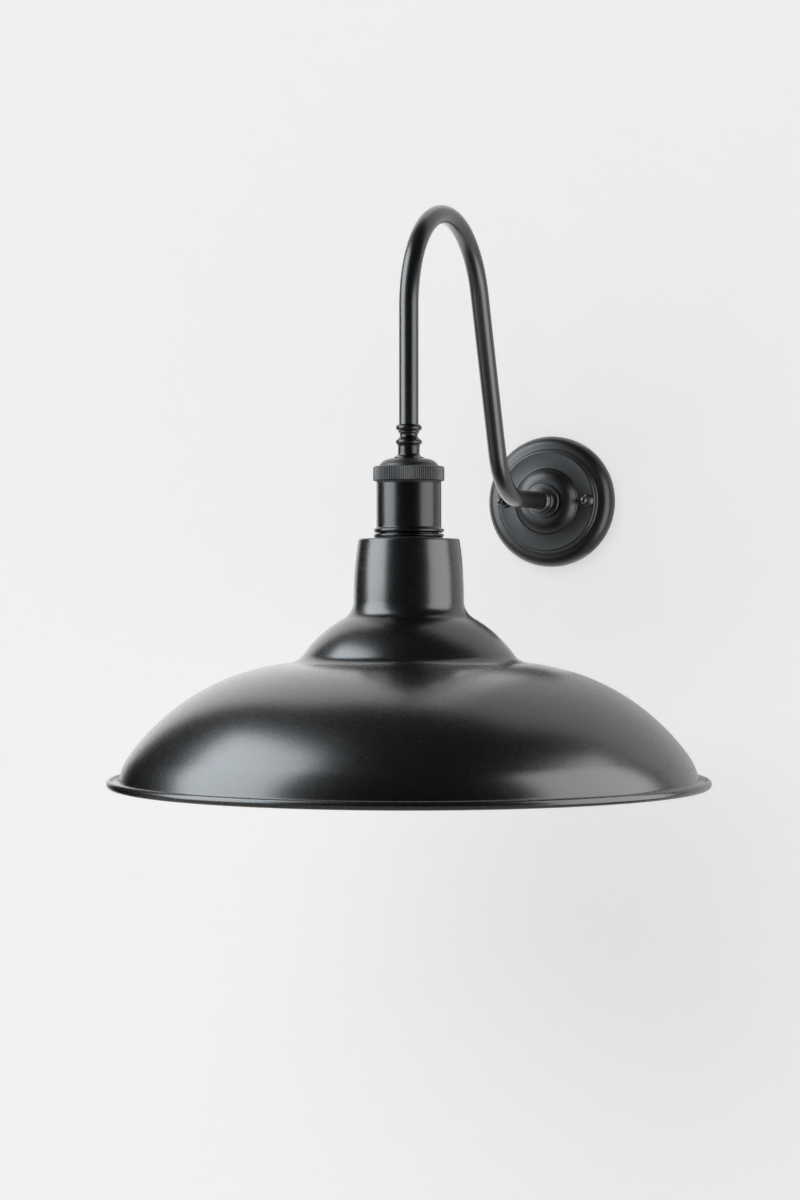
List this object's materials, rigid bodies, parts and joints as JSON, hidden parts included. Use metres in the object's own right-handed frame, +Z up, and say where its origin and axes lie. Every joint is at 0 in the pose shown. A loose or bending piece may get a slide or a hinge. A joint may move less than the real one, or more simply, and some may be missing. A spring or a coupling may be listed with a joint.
{
  "type": "outdoor wall lantern",
  "caption": "Swan-neck wall lantern: a round wall rose, a bent tube arm, a lampholder and a wide spun metal shade over a screw-in bulb.",
  "frame": {"origin": "centre of the wall rose's back, on the wall", "axes": "+Y into the wall, -Y out towards the shade, +Z up, the arm's centreline in the plane X = 0"},
  "size_m": [0.4, 0.4999, 0.3946],
  "materials": {
    "satin_black_paint": "satin",
    "zinc_plated_steel": "satin",
    "machined_brass": "satin",
    "nickel_plate": "satin",
    "solder": "satin",
    "clear_silicone": "satin",
    "black_rubber": "matte",
    "cable_sheath": "matte",
    "brown_insulation": "satin",
    "blue_insulation": "satin",
    "earth_insulation": "satin",
    "white_nylon": "satin",
    "black_phenolic": "satin",
    "black_glass": "gloss",
    "clear_glass": "gloss",
    "filament_phosphor": "matte"
  },
  "bodies": {
    "lantern": {"wall_gasket": "clear_silicone", "mounting_bracket": "zinc_plated_steel", "rose_studs": "zinc_plated_steel", "stud_locknuts": "zinc_plated_steel", "rose_cover": "satin_black_paint", "nut_washers": "black_rubber", "arm_collar": "satin_black_paint", "wall_nipple": "zinc_plated_steel", "arm_lockwasher": "zinc_plated_steel", "arm_locknut": "zinc_plated_steel", "earth_screw": "machined_brass", "earth_tag": "machined_brass", "terminal_block": "white_nylon", "terminal_inserts": "machined_brass", "terminal_screws": "zinc_plated_steel", "swan_neck_arm": "satin_black_paint", "flex_cable": "cable_sheath", "arm_coupler": "satin_black_paint", "lamp_nipple": "zinc_plated_steel", "cap_lockwasher": "zinc_plated_steel", "cap_locknut": "zinc_plated_steel", "holder_cap": "satin_black_paint", "cap_seal": "black_rubber", "holder_body": "satin_black_paint", "shade_ring_upper": "satin_black_paint", "shade_gasket": "black_rubber", "shade_ring_lower": "satin_black_paint", "shade": "satin_black_paint", "socket_insulator": "black_phenolic", "socket_shell": "machined_brass", "socket_side_contact": "machined_brass", "socket_centre_contact": "machined_brass", "socket_terminal_screws": "zinc_plated_steel", "lead_live": "brown_insulation", "lead_neutral": "blue_insulation", "lead_earth": "earth_insulation"},
    "bulb_tip": {"bulb_contact": "solder"},
    "bulb": {"bulb_cap_insulator": "black_glass", "bulb_cap": "nickel_plate", "bulb_globe": "clear_glass", "bulb_stem": "clear_glass", "bulb_filaments": "filament_phosphor"},
    "nut_left": {"ball_nut_left": "satin_black_paint"},
    "nut_right": {"ball_nut_right": "satin_black_paint"}
  },
  "joints": [
    {"name": "bulb_advance", "type": "slide", "parent": "lantern", "child": "bulb_tip", "axis": [0, 0, -1], "range_m": [0, 0.01815]},
    {"name": "bulb_unscrew", "type": "hinge", "parent": "bulb_tip", "child": "bulb", "pos_m": [0, -0.3, -0.05], "axis": [0, 0, -1], "range_deg": [0, 1800]},
    {"name": "left_nut_turn", "type": "hinge", "parent": "lantern", "child": "nut_left", "pos_m": [-0.0335, -0.025, 0], "axis": [0, -1, 0], "continuous": true},
    {"name": "right_nut_turn", "type": "hinge", "parent": "lantern", "child": "nut_right", "pos_m": [0.0335, -0.025, 0], "axis": [0, -1, 0], "continuous": true}
  ],
  "couplings": [
    {"joint": "bulb_advance", "follows": "bulb_unscrew", "m_per_rad": 0.0005775}
  ]
}
